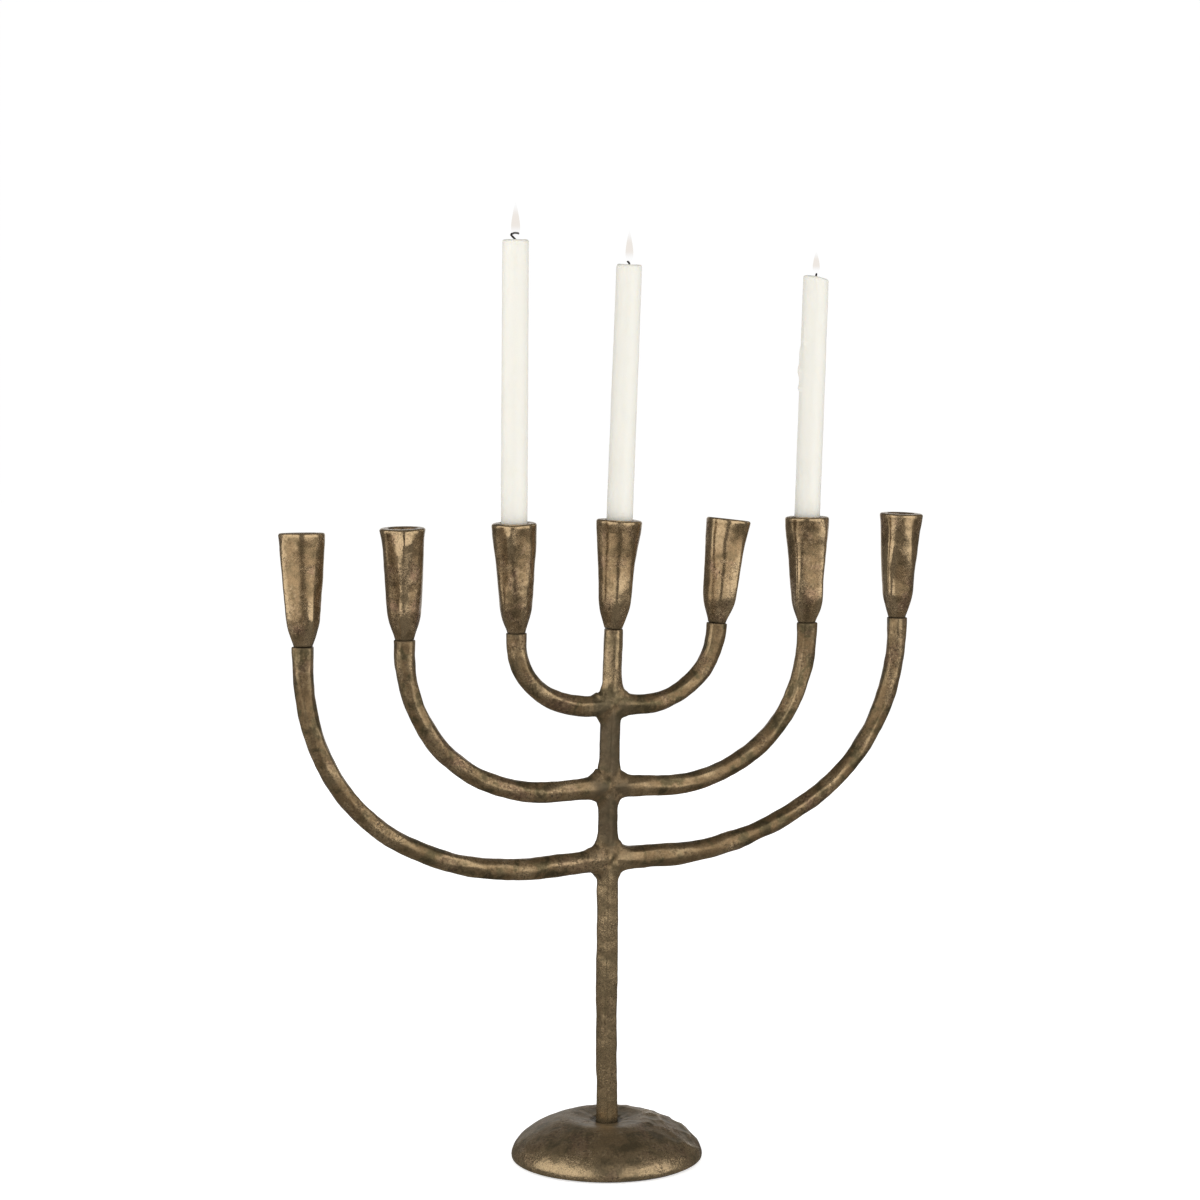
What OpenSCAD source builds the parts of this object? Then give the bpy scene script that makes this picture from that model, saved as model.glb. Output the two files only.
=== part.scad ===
// Seven-branch menorah with cast, hand-worked arms and tulip-shaped candle cups.
// Millimetres. +Z is up, +X runs along the row of cups and -Y faces the viewer.
// The origin is the centre of the base, on the surface that the menorah stands on.

/* [Base] */
// Radius of the domed base
base_r = 81; // [70:0.5:95]
// Height that the dome's curve rises to
base_h = 41.5; // [36:0.5:55]
// Thickness of the cast dome
base_wall = 5; // [3.5:0.5:7]
// Depth of the dish round the foot of the stem
dish_depth = 4.5; // [2:0.5:6]
// Radius of the dish round the foot of the stem
dish_r = 36; // [25:0.5:45]
// Thickness of the felt under the base
felt_t = 1.5; // [1:0.5:3]

/* [Stem] */
// Radius of the lower stem
stem_r = 8.8; // [8:0.1:11]
// Radius of the upper stem
stem_top_r = 8.4; // [8.3:0.1:10]
// Height where the upper stem starts to lean
knee_z = 300; // [280:5:310]

/* [Arms] */
// Radius of the arms
arm_r = 8.1; // [7.5:0.1:8.2]

/* [Cups] */
// Height of a cup above its seam
cup_h = 91; // [80:1:105]
// Radius of a cup's rim
rim_r = 18.9; // [17:0.1:22]
// Radius of a cup's neck at the seam
neck_r = 7.5; // [7:0.1:9]
// Depth of a candle socket
socket_depth = 25; // [18:1:32]

/* [Candles] */
// Radius of a candle
candle_r = 11; // [9.5:0.1:12]
// Gap all round a candle in its socket
socket_gap = 0.4; // [0.2:0.05:0.5]
// Radius of a wick
wick_r = 0.8; // [0.6:0.1:1.2]

/* [Fixings] */
// Radius of the threaded studs that hold the cups
stud_r = 3; // [2.5:0.5:3.5]
// Depth that a stud reaches into the cup and into the arm
stud_reach = 11; // [8:1:14]
// Radius of the screw that holds the base
screw_r = 4; // [3:0.5:4]

/* [Hidden] */
$fn = 64;

eps = 0.01;
far = 200;          // longer than any cut needs to be
play = 0.05;        // radial play of a screw or stud in its hole

// Cups, left to right: seam x, seam z, lean to the right, tilt away from the
// viewer, how far the socket is bored off the cup's own axis, and how much
// lower the rim is filed than cup_h.
X = 0;
Z = 1;
LEAN = 2;
TILT = 3;
SKEW = 4;
FILED = 5;
CUPS = [
    [-270.5, 452.0, 1.2, 4.0, 0.0, 0.0],
    [-183.0, 453.0, -0.8, 0.0, 0.0, 0.0],
    [-83.5, 453.5, -1.3, 0.0, 1.7, 0.0],
    [5.0, 453.0, 3.6, 0.0, -1.3, 0.0],
    [103.0, 452.9, 7.8, 1.5, 0.0, 2.4],
    [190.5, 449.0, 0.5, 1.5, 2.2, 0.0],
    [280.5, 449.0, 1.9, 0.0, 0.0, 0.0]
];

// Arms: which cup it carries, height at the stem's axis, straight run from
// that axis, droop of the run, radius of the wide bend, and the slope where
// the wide bend gives way to the tight one.
CUP = 0;
ROOT_Z = 1;
RUN = 2;
DROOP = 3;
WIDE_R = 4;
SLOPE = 5;
LEFT_OUTER = [1, 257.5, 60, 2.3, 238, 28.5];
LEFT_MIDDLE = [2, 320.0, 42, 2.6, 153, 24];
LEFT_INNER = [3, 389.0, 15, 1.7, 90, 25];
RIGHT_INNER = [5, 388.0, 28, 1.5, 73, 40];
RIGHT_MIDDLE = [6, 319.0, 52, 2.5, 144, 32];
RIGHT_OUTER = [7, 257.5, 55, 0.7, 272, 32];

// Candles: which cup it stands in, height above the rim, and the steps of the
// wick's free end, as bar() takes them.
HEIGHT = 1;
WICK = 2;
LEFT_CANDLE = [3, 231.5, [[52, 2], [0, 3.2], [-102, 0.95], [-75, 5.4]]];
CENTRE_CANDLE = [4, 212, [[-12, 2], [78, 2.2], [0, 1.5]]];
RIGHT_CANDLE = [6, 206.2, [[-5, 2], [0, 3.3]]];

dome_fullness = 1.8;                // 2 is an ellipse, less is more pointed
rim_z = 4;                          // height of the widest part of the base
foot_r = base_r - 4;                // radius of the edge that the base stands on
cavity_z = -1;                      // the hollow is cut from below the felt
seat_z = 20;                        // where the stem's foot ends inside the base
boss_z = 12;                        // underside of the boss inside the base
boss_r = 16;
washer_t = 1.6;
washer_r = 10;
head_af = 13;                       // across the flats of the screw's head
head_h = 5;
screw_end_z = 40;
socket_r = candle_r + socket_gap;
candle_lift = 0.2;                  // gap under a candle's foot
root_inset = 1.5;                   // how far off the stem's axis an arm's bar starts
stem_lean = atan(CUPS[3][X] / (CUPS[3][Z] - knee_z));

brass = "#8a6b3f";
steel = "#9a9a9a";
wax = "#f4f1e6";
char_black = "#2a2622";
felt_brown = "#3b2f26";

// ---- shared geometry ----

// A point on the cubic curve through a and d, drawn towards b and c.
function bezier(a, b, c, d, t) =
    pow(1 - t, 3) * a + 3 * pow(1 - t, 2) * t * b
    + 3 * (1 - t) * t * t * c + t * t * t * d;

// The place where cup n (1 to 7) meets its arm, turned the way the cup stands.
module at_seam(n) {
    cup = CUPS[n - 1];
    translate([cup[X], 0, cup[Z]])
        rotate([-cup[TILT], cup[LEAN], 0])
            children();
}

// The centre of cup n's rim, turned the way its socket is bored.
module at_rim(n) {
    at_seam(n)
        translate([0, 0, cup_h - CUPS[n - 1][FILED]])
            rotate([0, CUPS[n - 1][SKEW], 0])
                children();
}

// A round bar that starts along +X and bends up through turn degrees, short
// of both its ends by the length inset.
module bend(radius, turn, bar_r, inset) {
    inset_turn = inset / radius * 180 / PI;
    rotate([90, 0, 0])
        translate([0, radius, 0])
            rotate([0, 0, inset_turn - 90])
                rotate_extrude(angle = turn - 2 * inset_turn)
                    translate([radius, 0])
                        circle(bar_r);
}

// A round bar made of straight steps [0, length] and bends [turn, radius].
// A negative turn bends it down. Each step stops just short of its ends, and
// a ball a hair thicker than the bar joins it to the next.
module bar(steps, bar_r, i = 0) {
    inset = 0.05 * bar_r;
    if (i < len(steps)) {
        turn = steps[i][0];
        size = steps[i][1];
        if (i > 0)
            sphere(1.0125 * bar_r);
        if (turn == 0)
            translate([inset, 0, 0]) rotate([0, 90, 0]) cylinder(r = bar_r, h = size - 2 * inset);
        else
            mirror([0, 0, turn < 0 ? 1 : 0]) bend(size, abs(turn), bar_r, inset);
        next_x = turn == 0 ? size : size * sin(abs(turn));
        next_z = turn == 0 ? 0 : size * (1 - cos(turn)) * sign(turn);
        translate([next_x, 0, next_z])
            rotate([0, -turn, 0])
                bar(steps, bar_r, i + 1);
    }
}

// ---- base ----

// Radius and height of the dome at the angle t up its curve, for a dome of that size.
function dome_r(size, t) = size * pow(cos(t), 2 / dome_fullness);
function dome_z(size, t) = rim_z + (size - rim_z) * pow(sin(t), 2 / dome_fullness);

// Height of the dome's curve at the radius r.
function crest_z(r) = dome_z(base_h, acos(pow(r / base_r, dome_fullness / 2)));

// The ball that hollows a dish round the stem, lowered by drop.
module dish(drop) {
    ball_r = (dish_r * dish_r + dish_depth * dish_depth) / (2 * dish_depth);
    translate([0, 0, crest_z(dish_r) - dish_depth + ball_r - drop]) sphere(ball_r);
}

// Half the outline of a dome that starts at a flat foot.
module dome_outline(radius, height, foot, foot_z) {
    polygon(concat(
        [[0, foot_z], [foot, foot_z]],
        [for (t = [0:5:85]) [dome_r(radius, t), dome_z(height, t)]],
        [[0, height]]
    ));
}

module base_cavity() {
    difference() {
        rotate_extrude()
            dome_outline(
                base_r - base_wall, base_h - base_wall, foot_r - base_wall, cavity_z);
        dish(base_wall);
        translate([0, 0, boss_z]) cylinder(r = boss_r, h = base_h);
    }
}

module base_dome() {
    color(brass)
        difference() {
            rotate_extrude() dome_outline(base_r, base_h, foot_r, felt_t);
            base_cavity();
            dish(0);
            translate([0, 0, seat_z]) cylinder(r = stem_r + play, h = far);
            cylinder(r = screw_r + 0.4, h = far);
        }
}

module base_felt() {
    color(felt_brown) cylinder(r = foot_r - 1, h = felt_t);
}

module base_washer() {
    color(steel)
        translate([0, 0, boss_z - washer_t])
            difference() {
                cylinder(r = washer_r, h = washer_t);
                translate([0, 0, -1]) cylinder(r = screw_r + 0.3, h = washer_t + 2);
            }
}

module base_screw() {
    head_z = boss_z - washer_t - head_h;
    color(steel) {
        translate([0, 0, head_z]) cylinder(d = head_af / cos(30), h = head_h, $fn = 6);
        translate([0, 0, head_z + head_h - eps])
            cylinder(r = screw_r - play, h = screw_end_z - head_z - head_h);
    }
}

// ---- stem and arms ----

// The stem as a plain bar, before its ends are worked.
module stem_bar() {
    translate([0, 0, seat_z]) cylinder(r = stem_r, h = knee_z - seat_z);
    translate([0, 0, knee_z]) sphere(stem_r);
    translate([0, 0, knee_z])
        rotate([0, stem_lean, 0])
            cylinder(r = stem_top_r, h = far);
}

// Cuts a bar off at cup n's seam and bores it for the cup's stud.
module seat_cup(n) {
    difference() {
        children();
        at_seam(n) translate([-far / 2, -far / 2, 0]) cube([far, far, far]);
        at_seam(n) translate([0, 0, -stud_reach]) cylinder(r = stud_r, h = far);
    }
}

module stem() {
    color(brass)
        difference() {
            seat_cup(4) stem_bar();
            translate([0, 0, seat_z - 1]) cylinder(r = screw_r, h = screw_end_z + 3 - seat_z);
        }
}

module arm(row) {
    cup = CUPS[row[CUP] - 1];
    root_x = tan(stem_lean) * max(0, row[ROOT_Z] - knee_z);
    reach = abs(cup[X] - root_x);
    droop = row[DROOP];
    slope = row[SLOPE];
    wide_r = row[WIDE_R];
    run_x = row[RUN] * cos(droop);
    wide_x = wide_r * (sin(slope) + sin(droop));
    tight_r = (reach - run_x - wide_x) / (1 - sin(slope));
    color(brass)
        seat_cup(row[CUP])
            difference() {
                translate([root_x, 0, row[ROOT_Z]])
                    mirror([cup[X] < root_x ? 1 : 0, 0, 0])
                        rotate([0, droop, 0])
                            translate([root_inset, 0, 0])
                                bar([
                                    [0, row[RUN] - root_inset],
                                    [droop + slope, wide_r],
                                    [90 - slope, tight_r],
                                    [0, far / 2]
                                ], arm_r);
                stem_bar();
            }
}

module arm_left_outer() { arm(LEFT_OUTER); }
module arm_left_middle() { arm(LEFT_MIDDLE); }
module arm_left_inner() { arm(LEFT_INNER); }
module arm_right_inner() { arm(RIGHT_INNER); }
module arm_right_middle() { arm(RIGHT_MIDDLE); }
module arm_right_outer() { arm(RIGHT_OUTER); }

// ---- cups ----

// Half the outline of a cup of that height: a narrow neck that swells into a
// tulip shape, with a rounded rim.
module cup_outline(height) {
    belly = [13.5, 22];
    round_r = 2;
    lip = [rim_r, height - round_r];
    polygon(concat(
        [[0, 0]],
        [for (t = [0:1 / 8:1 - eps]) bezier([neck_r, 0], [8.9, 6], [12.5, 13], belly, t)],
        [for (t = [0:1 / 8:1 - eps]) bezier(belly, [14.9, 36], [16.2, 66], lip, t)],
        [for (a = [0:22.5:90])
            [rim_r - round_r + round_r * cos(a), height - round_r + round_r * sin(a)]],
        [[0, height]]
    ));
}

module cup(n) {
    mouth = 1;
    color(brass)
        difference() {
            at_seam(n) rotate_extrude() cup_outline(cup_h - CUPS[n - 1][FILED]);
            at_rim(n) translate([0, 0, -socket_depth]) cylinder(r = socket_r, h = far);
            at_rim(n) translate([0, 0, -mouth])
                cylinder(r1 = socket_r, r2 = socket_r + 3 * mouth, h = 3 * mouth);
            at_seam(n) translate([0, 0, -1]) cylinder(r = stud_r, h = stud_reach + 1);
        }
}

module cup_stud(n) {
    color(steel)
        at_seam(n)
            translate([0, 0, 0.5 - stud_reach])
                cylinder(r = stud_r - play, h = 2 * stud_reach - 1);
}

// ---- candles ----

module candle(row) {
    top = row[HEIGHT];
    foot = candle_lift - socket_depth;
    round_r = 2;
    dish = 1.5;
    color(wax)
        at_rim(row[CUP])
            difference() {
                rotate_extrude()
                    polygon(concat(
                        [[0, foot], [candle_r - 1, foot], [candle_r, foot + 1]],
                        [for (a = [0:22.5:90])
                            [candle_r - round_r + round_r * cos(a), top - round_r + round_r * sin(a)]],
                        [[wick_r, top - dish], [0, top - dish]]
                    ));
                translate([0, 0, foot - 1]) cylinder(r = wick_r + play, h = top - foot + 2);
            }
}

module wick(row) {
    foot = candle_lift - socket_depth;
    inside = row[HEIGHT] - foot - 1;
    color(char_black)
        at_rim(row[CUP])
            translate([0, 0, foot])
                rotate([0, -90, 0])
                    bar(concat([[0, inside]], row[WICK]), wick_r);
}

module candle_left() { candle(LEFT_CANDLE); }
module candle_centre() { candle(CENTRE_CANDLE); }
module candle_right() { candle(RIGHT_CANDLE); }
module wick_left() { wick(LEFT_CANDLE); }
module wick_centre() { wick(CENTRE_CANDLE); }
module wick_right() { wick(RIGHT_CANDLE); }

base_dome();
base_felt();
base_screw();
base_washer();
stem();
arm_left_outer();
arm_left_middle();
arm_left_inner();
arm_right_inner();
arm_right_middle();
arm_right_outer();
cup(1);  // cup_1
cup(2);  // cup_2
cup(3);  // cup_3
cup(4);  // cup_4
cup(5);  // cup_5
cup(6);  // cup_6
cup(7);  // cup_7
cup_stud(1);  // cup_stud_1
cup_stud(2);  // cup_stud_2
cup_stud(3);  // cup_stud_3
cup_stud(4);  // cup_stud_4
cup_stud(5);  // cup_stud_5
cup_stud(6);  // cup_stud_6
cup_stud(7);  // cup_stud_7
candle_left();
candle_centre();
candle_right();
wick_left();
wick_centre();
wick_right();
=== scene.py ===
"""A seven-branch menorah in antique brass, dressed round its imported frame.

Every size is in metres, in the frame's own axes: +Z is up, +X runs along the row of
cups and -Y faces the viewer. Each sub-assembly is a class that builds its pieces from
the CAD nodes it stands for, and each finish is a frozen dataclass that makes one
material.
"""

from __future__ import annotations

import logging
import math
from dataclasses import dataclass, field
from enum import Enum
from functools import cache
from typing import Any

import bmesh
import bpy
import numpy as np
from mathutils import Euler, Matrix, Quaternion, Vector, noise


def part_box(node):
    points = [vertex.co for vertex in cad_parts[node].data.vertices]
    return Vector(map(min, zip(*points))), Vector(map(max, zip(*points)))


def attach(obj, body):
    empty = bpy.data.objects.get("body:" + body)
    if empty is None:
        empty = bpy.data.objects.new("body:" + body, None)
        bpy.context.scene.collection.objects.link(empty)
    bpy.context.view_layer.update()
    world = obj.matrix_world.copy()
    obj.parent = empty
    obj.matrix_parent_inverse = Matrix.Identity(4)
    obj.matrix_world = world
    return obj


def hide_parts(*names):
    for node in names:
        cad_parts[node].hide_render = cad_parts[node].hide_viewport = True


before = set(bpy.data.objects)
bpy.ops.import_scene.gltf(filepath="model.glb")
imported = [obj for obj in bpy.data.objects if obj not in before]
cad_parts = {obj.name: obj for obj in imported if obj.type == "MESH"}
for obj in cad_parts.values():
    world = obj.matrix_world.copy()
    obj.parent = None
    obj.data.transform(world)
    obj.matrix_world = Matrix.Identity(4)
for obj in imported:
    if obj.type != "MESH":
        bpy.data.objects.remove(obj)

RGB = tuple[float, float, float]
Place = tuple[float, float, float]
log = logging.getLogger("menorah")
UP = np.array([0.0, 0.0, 1.0])
AWAY = np.array([0.0, 1.0, 0.0])
STUD_R = 0.00305
STUD_WELL = 0.0105
BASE_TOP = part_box("base_dome")[1].z


class Body(Enum):
    """The bodies of the frame that pieces ride on."""

    MENORAH = "menorah"
    CANDLE_LEFT = "candle_left"
    CANDLE_CENTRE = "candle_centre"
    CANDLE_RIGHT = "candle_right"


class Slot(Enum):
    """The record's material slots."""

    BRASS = "antique_brass"
    BASE = "base_brass"
    STEEL = "zinc_steel"
    FELT = "felt"
    WAX = "wax"
    WICK = "wick"


class Side(Enum):
    """The side of the stem that an arm leaves from."""

    LEFT = -1
    RIGHT = 1


# ---- shader maths ----


class Value:
    """A socket's value. Python arithmetic on it adds Math nodes."""

    def __init__(self, book: NodeBook, socket: bpy.types.NodeSocket) -> None:
        """Wraps a socket of the tree that the book writes."""
        self.book = book
        self.socket = socket

    def _math(self, operation: str, *terms: Value | float) -> Value:
        """Adds one Math node that works on the terms in order."""
        return self.book.add("ShaderNodeMath", {"operation": operation}, dict(enumerate(terms)))

    def __add__(self, other: Value | float) -> Value:
        """This plus the other."""
        return self._math("ADD", self, other)

    def __sub__(self, other: Value | float) -> Value:
        """This less the other."""
        return self._math("SUBTRACT", self, other)

    def __rsub__(self, other: float) -> Value:
        """The other less this."""
        return self._math("SUBTRACT", other, self)

    def __mul__(self, other: Value | float) -> Value:
        """This times the other."""
        return self._math("MULTIPLY", self, other)

    def __abs__(self) -> Value:
        """This without its sign."""
        return self._math("ABSOLUTE", self)

    __radd__ = __add__
    __rmul__ = __mul__

    def between(self, low: float, high: float) -> Value:
        """A soft step from 0 at low to 1 at high.

        Args:
            low: the value that gives 0. It may be the larger of the two.
            high: the value that gives 1.

        Returns:
            The step, which never leaves 0 to 1.
        """
        if low > high:
            return 1 - self.between(high, low)
        return self.book.add(
            "ShaderNodeMapRange",
            {"interpolation_type": "SMOOTHSTEP"},
            {"Value": self, "From Min": low, "From Max": high},
        )


class NodeBook:
    """Writes the nodes of one material or world."""

    def __init__(self, tree: bpy.types.NodeTree) -> None:
        """Starts from an empty tree."""
        self.tree = tree
        tree.nodes.clear()

    def add(
        self,
        kind: str,
        settings: dict[str, Any] | None = None,
        values: dict[int | str, Any] | None = None,
        output: int | str = 0,
    ) -> Value:
        """Adds one node.

        Args:
            kind: the node's type.
            settings: its own properties, which are set before its sockets.
            values: a number, colour or Value for each socket, by name or index.
            output: the output that is wanted, by name or index.

        Returns:
            That output.
        """
        node = self.tree.nodes.new(kind)
        for name, setting in (settings or {}).items():
            setattr(node, name, setting)
        for name, value in (values or {}).items():
            socket = node.inputs[name]
            if isinstance(value, Value):
                self.tree.links.new(value.socket, socket)
            elif socket.type == "RGBA":
                socket.default_value = (*value, 1.0)
            else:
                socket.default_value = value
        return Value(self, node.outputs[output]) if len(node.outputs) else None

    def mix(self, share: Value | float, first: Value | RGB, second: Value | RGB) -> Value:
        """A blend of two colours.

        Args:
            share: how much of the second colour there is, from 0 to 1.
            first: a colour.
            second: a colour.

        Returns:
            The blended colour.
        """
        return self.add(
            "ShaderNodeMix", {"data_type": "RGBA"}, {0: share, 6: first, 7: second}, 2
        )

    def place(self) -> Value:
        """The piece's own coordinates, in metres."""
        return self.add("ShaderNodeTexCoord", output="Object")

    def cloud(self, place: Value, size: float, detail: float = 2.0, warp: float = 0.0) -> Value:
        """Soft noise from 0 to 1.

        Args:
            place: the coordinates it is read at.
            size: the size of its features, in metres.
            detail: how many finer octaves it has.
            warp: how far it is distorted.

        Returns:
            The noise.
        """
        return self.add(
            "ShaderNodeTexNoise",
            {"noise_dimensions": "3D"},
            {"Vector": place, "Scale": 1 / size, "Detail": detail, "Distortion": warp},
        )

    def painted(self, name: str) -> Value:
        """A number that the mesh carries at each vertex."""
        return self.add("ShaderNodeAttribute", {"attribute_name": name}, output="Fac")

    def relief(self, height: Value, depth: float) -> Value:
        """A bumped normal.

        Args:
            height: the height of the surface, as a share of the depth.
            depth: how far the surface rises where the height is 1, in metres.

        Returns:
            The normal.
        """
        return self.add("ShaderNodeBump", None, {"Strength": 1.0, "Distance": depth, "Height": height})

    def surface(self, values: dict[str, Any]) -> None:
        """Ends the tree in one Principled shader with these socket values."""
        shader = self.add("ShaderNodeBsdfPrincipled", None, values)
        self.add("ShaderNodeOutputMaterial", None, {"Surface": shader})


# ---- finishes ----


@dataclass(frozen=True)
class Finish:
    """A finish, which makes one material."""

    name: str

    @cache
    def material(self) -> bpy.types.Material:
        """Makes the material once.

        Returns:
            The material.
        """
        made = bpy.data.materials.new(self.name)
        made.use_nodes = True
        self._paint(NodeBook(made.node_tree))
        return made

    def _paint(self, book: NodeBook) -> None:
        """Writes the material's nodes."""
        raise NotImplementedError


@dataclass(frozen=True)
class CastBrass(Finish):
    """Sand-cast brass under a dark patina, rubbed bright where hands and rags reach, with painted shade
    and painted highlights carried by the pieces' marks.
    """

    body: RGB = (0.265, 0.178, 0.092)
    bright: RGB = (0.50, 0.37, 0.215)
    blush: RGB = (0.33, 0.20, 0.135)
    shade: RGB = (0.085, 0.064, 0.036)
    olive: RGB = (0.145, 0.118, 0.060)
    patch: float = 0.013
    grain: float = 0.0012
    pock: float = 0.0042
    pock_depth: float = 0.00030
    smooth: float = 0.25
    rough: float = 0.42
    metal: float = 0.88
    mottle: float = 0.90

    def _paint(self, book: NodeBook) -> None:
        """Patina, pits, sandy flecks and casting curls, from the piece's wear and grime marks, which also
        carry painted highlights and painted shade.
        """
        place = book.place()
        wear_and_glint = book.painted("wear_and_glint")
        grime_and_shade = book.painted("grime_and_shade")

        tint = book.cloud(place, self.patch, 4.0, 0.4)
        drift = book.cloud(place, self.patch * 2.6, 3.0, 0.8)
        grain = book.cloud(place, self.grain, 3.0)
        speck = book.cloud(place, self.grain * 1.9, 2.0, 0.5)
        curl = abs(book.cloud(place, self.pock, 1.5, 1.6) - 0.5)
        sandy = drift.between(0.40, 0.60)
        fleck = speck.between(0.54, 0.61) * (sandy * 0.8 + 0.2)
        pit = speck.between(0.44, 0.36) * (sandy * 0.8 + 0.2)
        aged = (1 - tint.between(0.40, 0.54)) * self.mottle
        pocked = tint.between(0.46, 0.60) * sandy * (1 - wear_and_glint * 0.35)
        groove = curl.between(0.045, 0.0) * pocked
        lip = curl.between(0.12, 0.05) * pocked * (1 - groove)

        # The rubbed brightness is real wear, plus painted highlights where a piece's wear mark carries
        # them.
        rubbed_and_glint = (wear_and_glint * 0.75 + tint * 0.55 + speck * 0.30).between(0.48, 1.02)
        colour = book.mix(aged, self.body, self.olive)
        colour = book.mix(tint.between(0.42, 0.34) * (0.5 * self.mottle), colour, self.shade)
        colour = book.mix(drift.between(0.50, 0.70) * 0.6, colour, self.blush)
        colour = book.mix(rubbed_and_glint * 0.75, colour, self.bright)
        colour = book.mix(lip * 0.35 + fleck * 0.45, colour, self.bright)
        pitted = grain.between(0.54, 0.38) * 0.30 + pit * 0.42
        colour = book.mix(pitted + groove * (0.2 + 0.6 * self.mottle), colour, self.shade)
        # Painted shade: seams, wells, joints and hollows darkened through the grime mark, along with some
        # real dirt.
        colour = book.mix(grime_and_shade, colour, self.shade)

        dull = (1 - rubbed_and_glint) * (self.rough - self.smooth) + self.smooth
        height = grain * 0.20 + speck * 0.35 + tint * 0.7 + lip * 0.25 - groove * 0.9
        book.surface(
            {
                "Base Color": colour,
                "Metallic": self.metal - (grime_and_shade * 0.30 + groove * 0.3),
                "Roughness": dull + grain * 0.10 + groove * 0.15 - 0.04,
                "Normal": book.relief(height, self.pock_depth),
            }
        )


@dataclass(frozen=True)
class CandleWax(Finish):
    """Ivory household wax with a soft skin."""

    skin: RGB = (0.675, 0.665, 0.615)
    shade: RGB = (0.60, 0.58, 0.51)
    mottle: float = 0.011

    def _paint(self, book: NodeBook) -> None:
        """Faint clouds in the skin, yellower towards the middle of the pool at the top."""
        place = book.place()
        cloud = book.cloud(place, self.mottle, 4.0)
        fine = book.cloud(place, self.mottle * 0.12, 2.0)
        tone = (cloud * 0.8 + book.painted("grime_and_shade")).between(0.40, 1.1)
        book.surface(
            {
                "Base Color": book.mix(tone, self.skin, self.shade),
                "Roughness": cloud * 0.18 + 0.34,
                "Subsurface Weight": 0.35,
                "Subsurface Radius": (0.006, 0.0045, 0.003),
                "Subsurface Scale": 1.0,
                "Normal": book.relief(cloud * 0.7 + fine * 0.3, 0.0004),
            }
        )


@dataclass(frozen=True)
class CharredWick(Finish):
    """Braided cotton burnt black, greyer down by the wax."""

    char: RGB = (0.012, 0.010, 0.009)
    ash: RGB = (0.10, 0.085, 0.07)

    def _paint(self, book: NodeBook) -> None:
        """Fibres, with ash on their crowns."""
        fibre = book.cloud(book.place(), 0.0007, 3.0)
        book.surface(
            {
                "Base Color": book.mix(fibre.between(0.5, 0.75), self.char, self.ash),
                "Roughness": 0.9 - fibre * 0.15,
                "Normal": book.relief(fibre, 0.0003),
            }
        )


@dataclass(frozen=True)
class Felt(Finish):
    """Dark brown pressed felt."""

    dark: RGB = (0.030, 0.022, 0.016)
    light: RGB = (0.075, 0.056, 0.042)

    def _paint(self, book: NodeBook) -> None:
        """Short tangled fibres in soft tufts."""
        place = book.place()
        fibre = book.cloud(place, 0.0009, 5.0, 2.0)
        tuft = book.cloud(place, 0.006, 3.0)
        book.surface(
            {
                "Base Color": book.mix(fibre * 0.7 + tuft * 0.3, self.dark, self.light),
                "Roughness": 0.95 - fibre * 0.1,
                "Sheen Weight": 0.4,
                "Sheen Roughness": 0.6,
                "Normal": book.relief(fibre, 0.0006),
            }
        )


@dataclass(frozen=True)
class PlatedSteel(Finish):
    """Bright zinc plate with fine turning marks."""

    light: RGB = (0.62, 0.62, 0.60)
    dull: RGB = (0.40, 0.41, 0.42)

    def _paint(self, book: NodeBook) -> None:
        """Fine turning marks under a dull bloom."""
        place = book.place()
        bloom = book.cloud(place, 0.004, 4.0)
        turned = book.add(
            "ShaderNodeTexWave",
            {"wave_type": "BANDS", "bands_direction": "Z"},
            {"Vector": place, "Scale": 800.0, "Distortion": 0.3},
            "Fac",
        )
        book.surface(
            {
                "Base Color": book.mix(bloom.between(0.35, 0.7), self.light, self.dull),
                "Metallic": 1.0,
                "Roughness": bloom * 0.25 + 0.22,
                "Normal": book.relief(turned * 0.5 + bloom * 0.5, 0.00012),
            }
        )


@dataclass(frozen=True)
class Flame(Finish):
    """The faint body of a small still flame."""

    heart: RGB = (0.80, 0.73, 0.66)
    edge: RGB = (0.85, 0.84, 0.84)

    def _paint(self, book: NodeBook) -> None:
        """A pale glow, brighter where the piece's own wear is high."""
        heat = book.painted("wear_and_glint")
        book.surface(
            {
                "Base Color": (0.0, 0.0, 0.0),
                "Roughness": 1.0,
                "Specular IOR Level": 0.0,
                "Emission Color": book.mix(heat, self.edge, self.heart),
                "Emission Strength": 1.0,
                "Alpha": heat * 0.42 + 0.05,
            }
        )


@dataclass(frozen=True)
class StudioPaint(Finish):
    """Even paint that also gives white light, for the stage."""

    glow: float
    colour: RGB = (0.0, 0.0, 0.0)
    rough: float = 0.5

    def _paint(self, book: NodeBook) -> None:
        """One plain glowing surface."""
        book.surface(
            {
                "Base Color": self.colour,
                "Roughness": self.rough,
                "Emission Color": (1.0, 1.0, 1.0),
                "Emission Strength": self.glow,
            }
        )


# ---- shared geometry ----


def unit(vector: np.ndarray) -> np.ndarray:
    """The vector at length 1."""
    return vector / np.linalg.norm(vector)


def clumps(points: np.ndarray, size: float, seed: int) -> np.ndarray:
    """Smooth noise from about -1 to 1 at each point.

    Args:
        points: places, one a row.
        size: the size of the noise's features.
        seed: picks one noise out of many.

    Returns:
        One number a point.
    """
    shift = np.array([7.31, 3.17, 5.73]) * seed
    return np.array([noise.noise(Vector(p)) for p in points / size + shift])


def soft_step(values: np.ndarray | float, low: float, high: float) -> np.ndarray:
    """A soft step from 0 at low to 1 at high."""
    share = np.clip((np.asarray(values, float) - low) / (high - low), 0.0, 1.0)
    return share * share * (3 - 2 * share)


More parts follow.
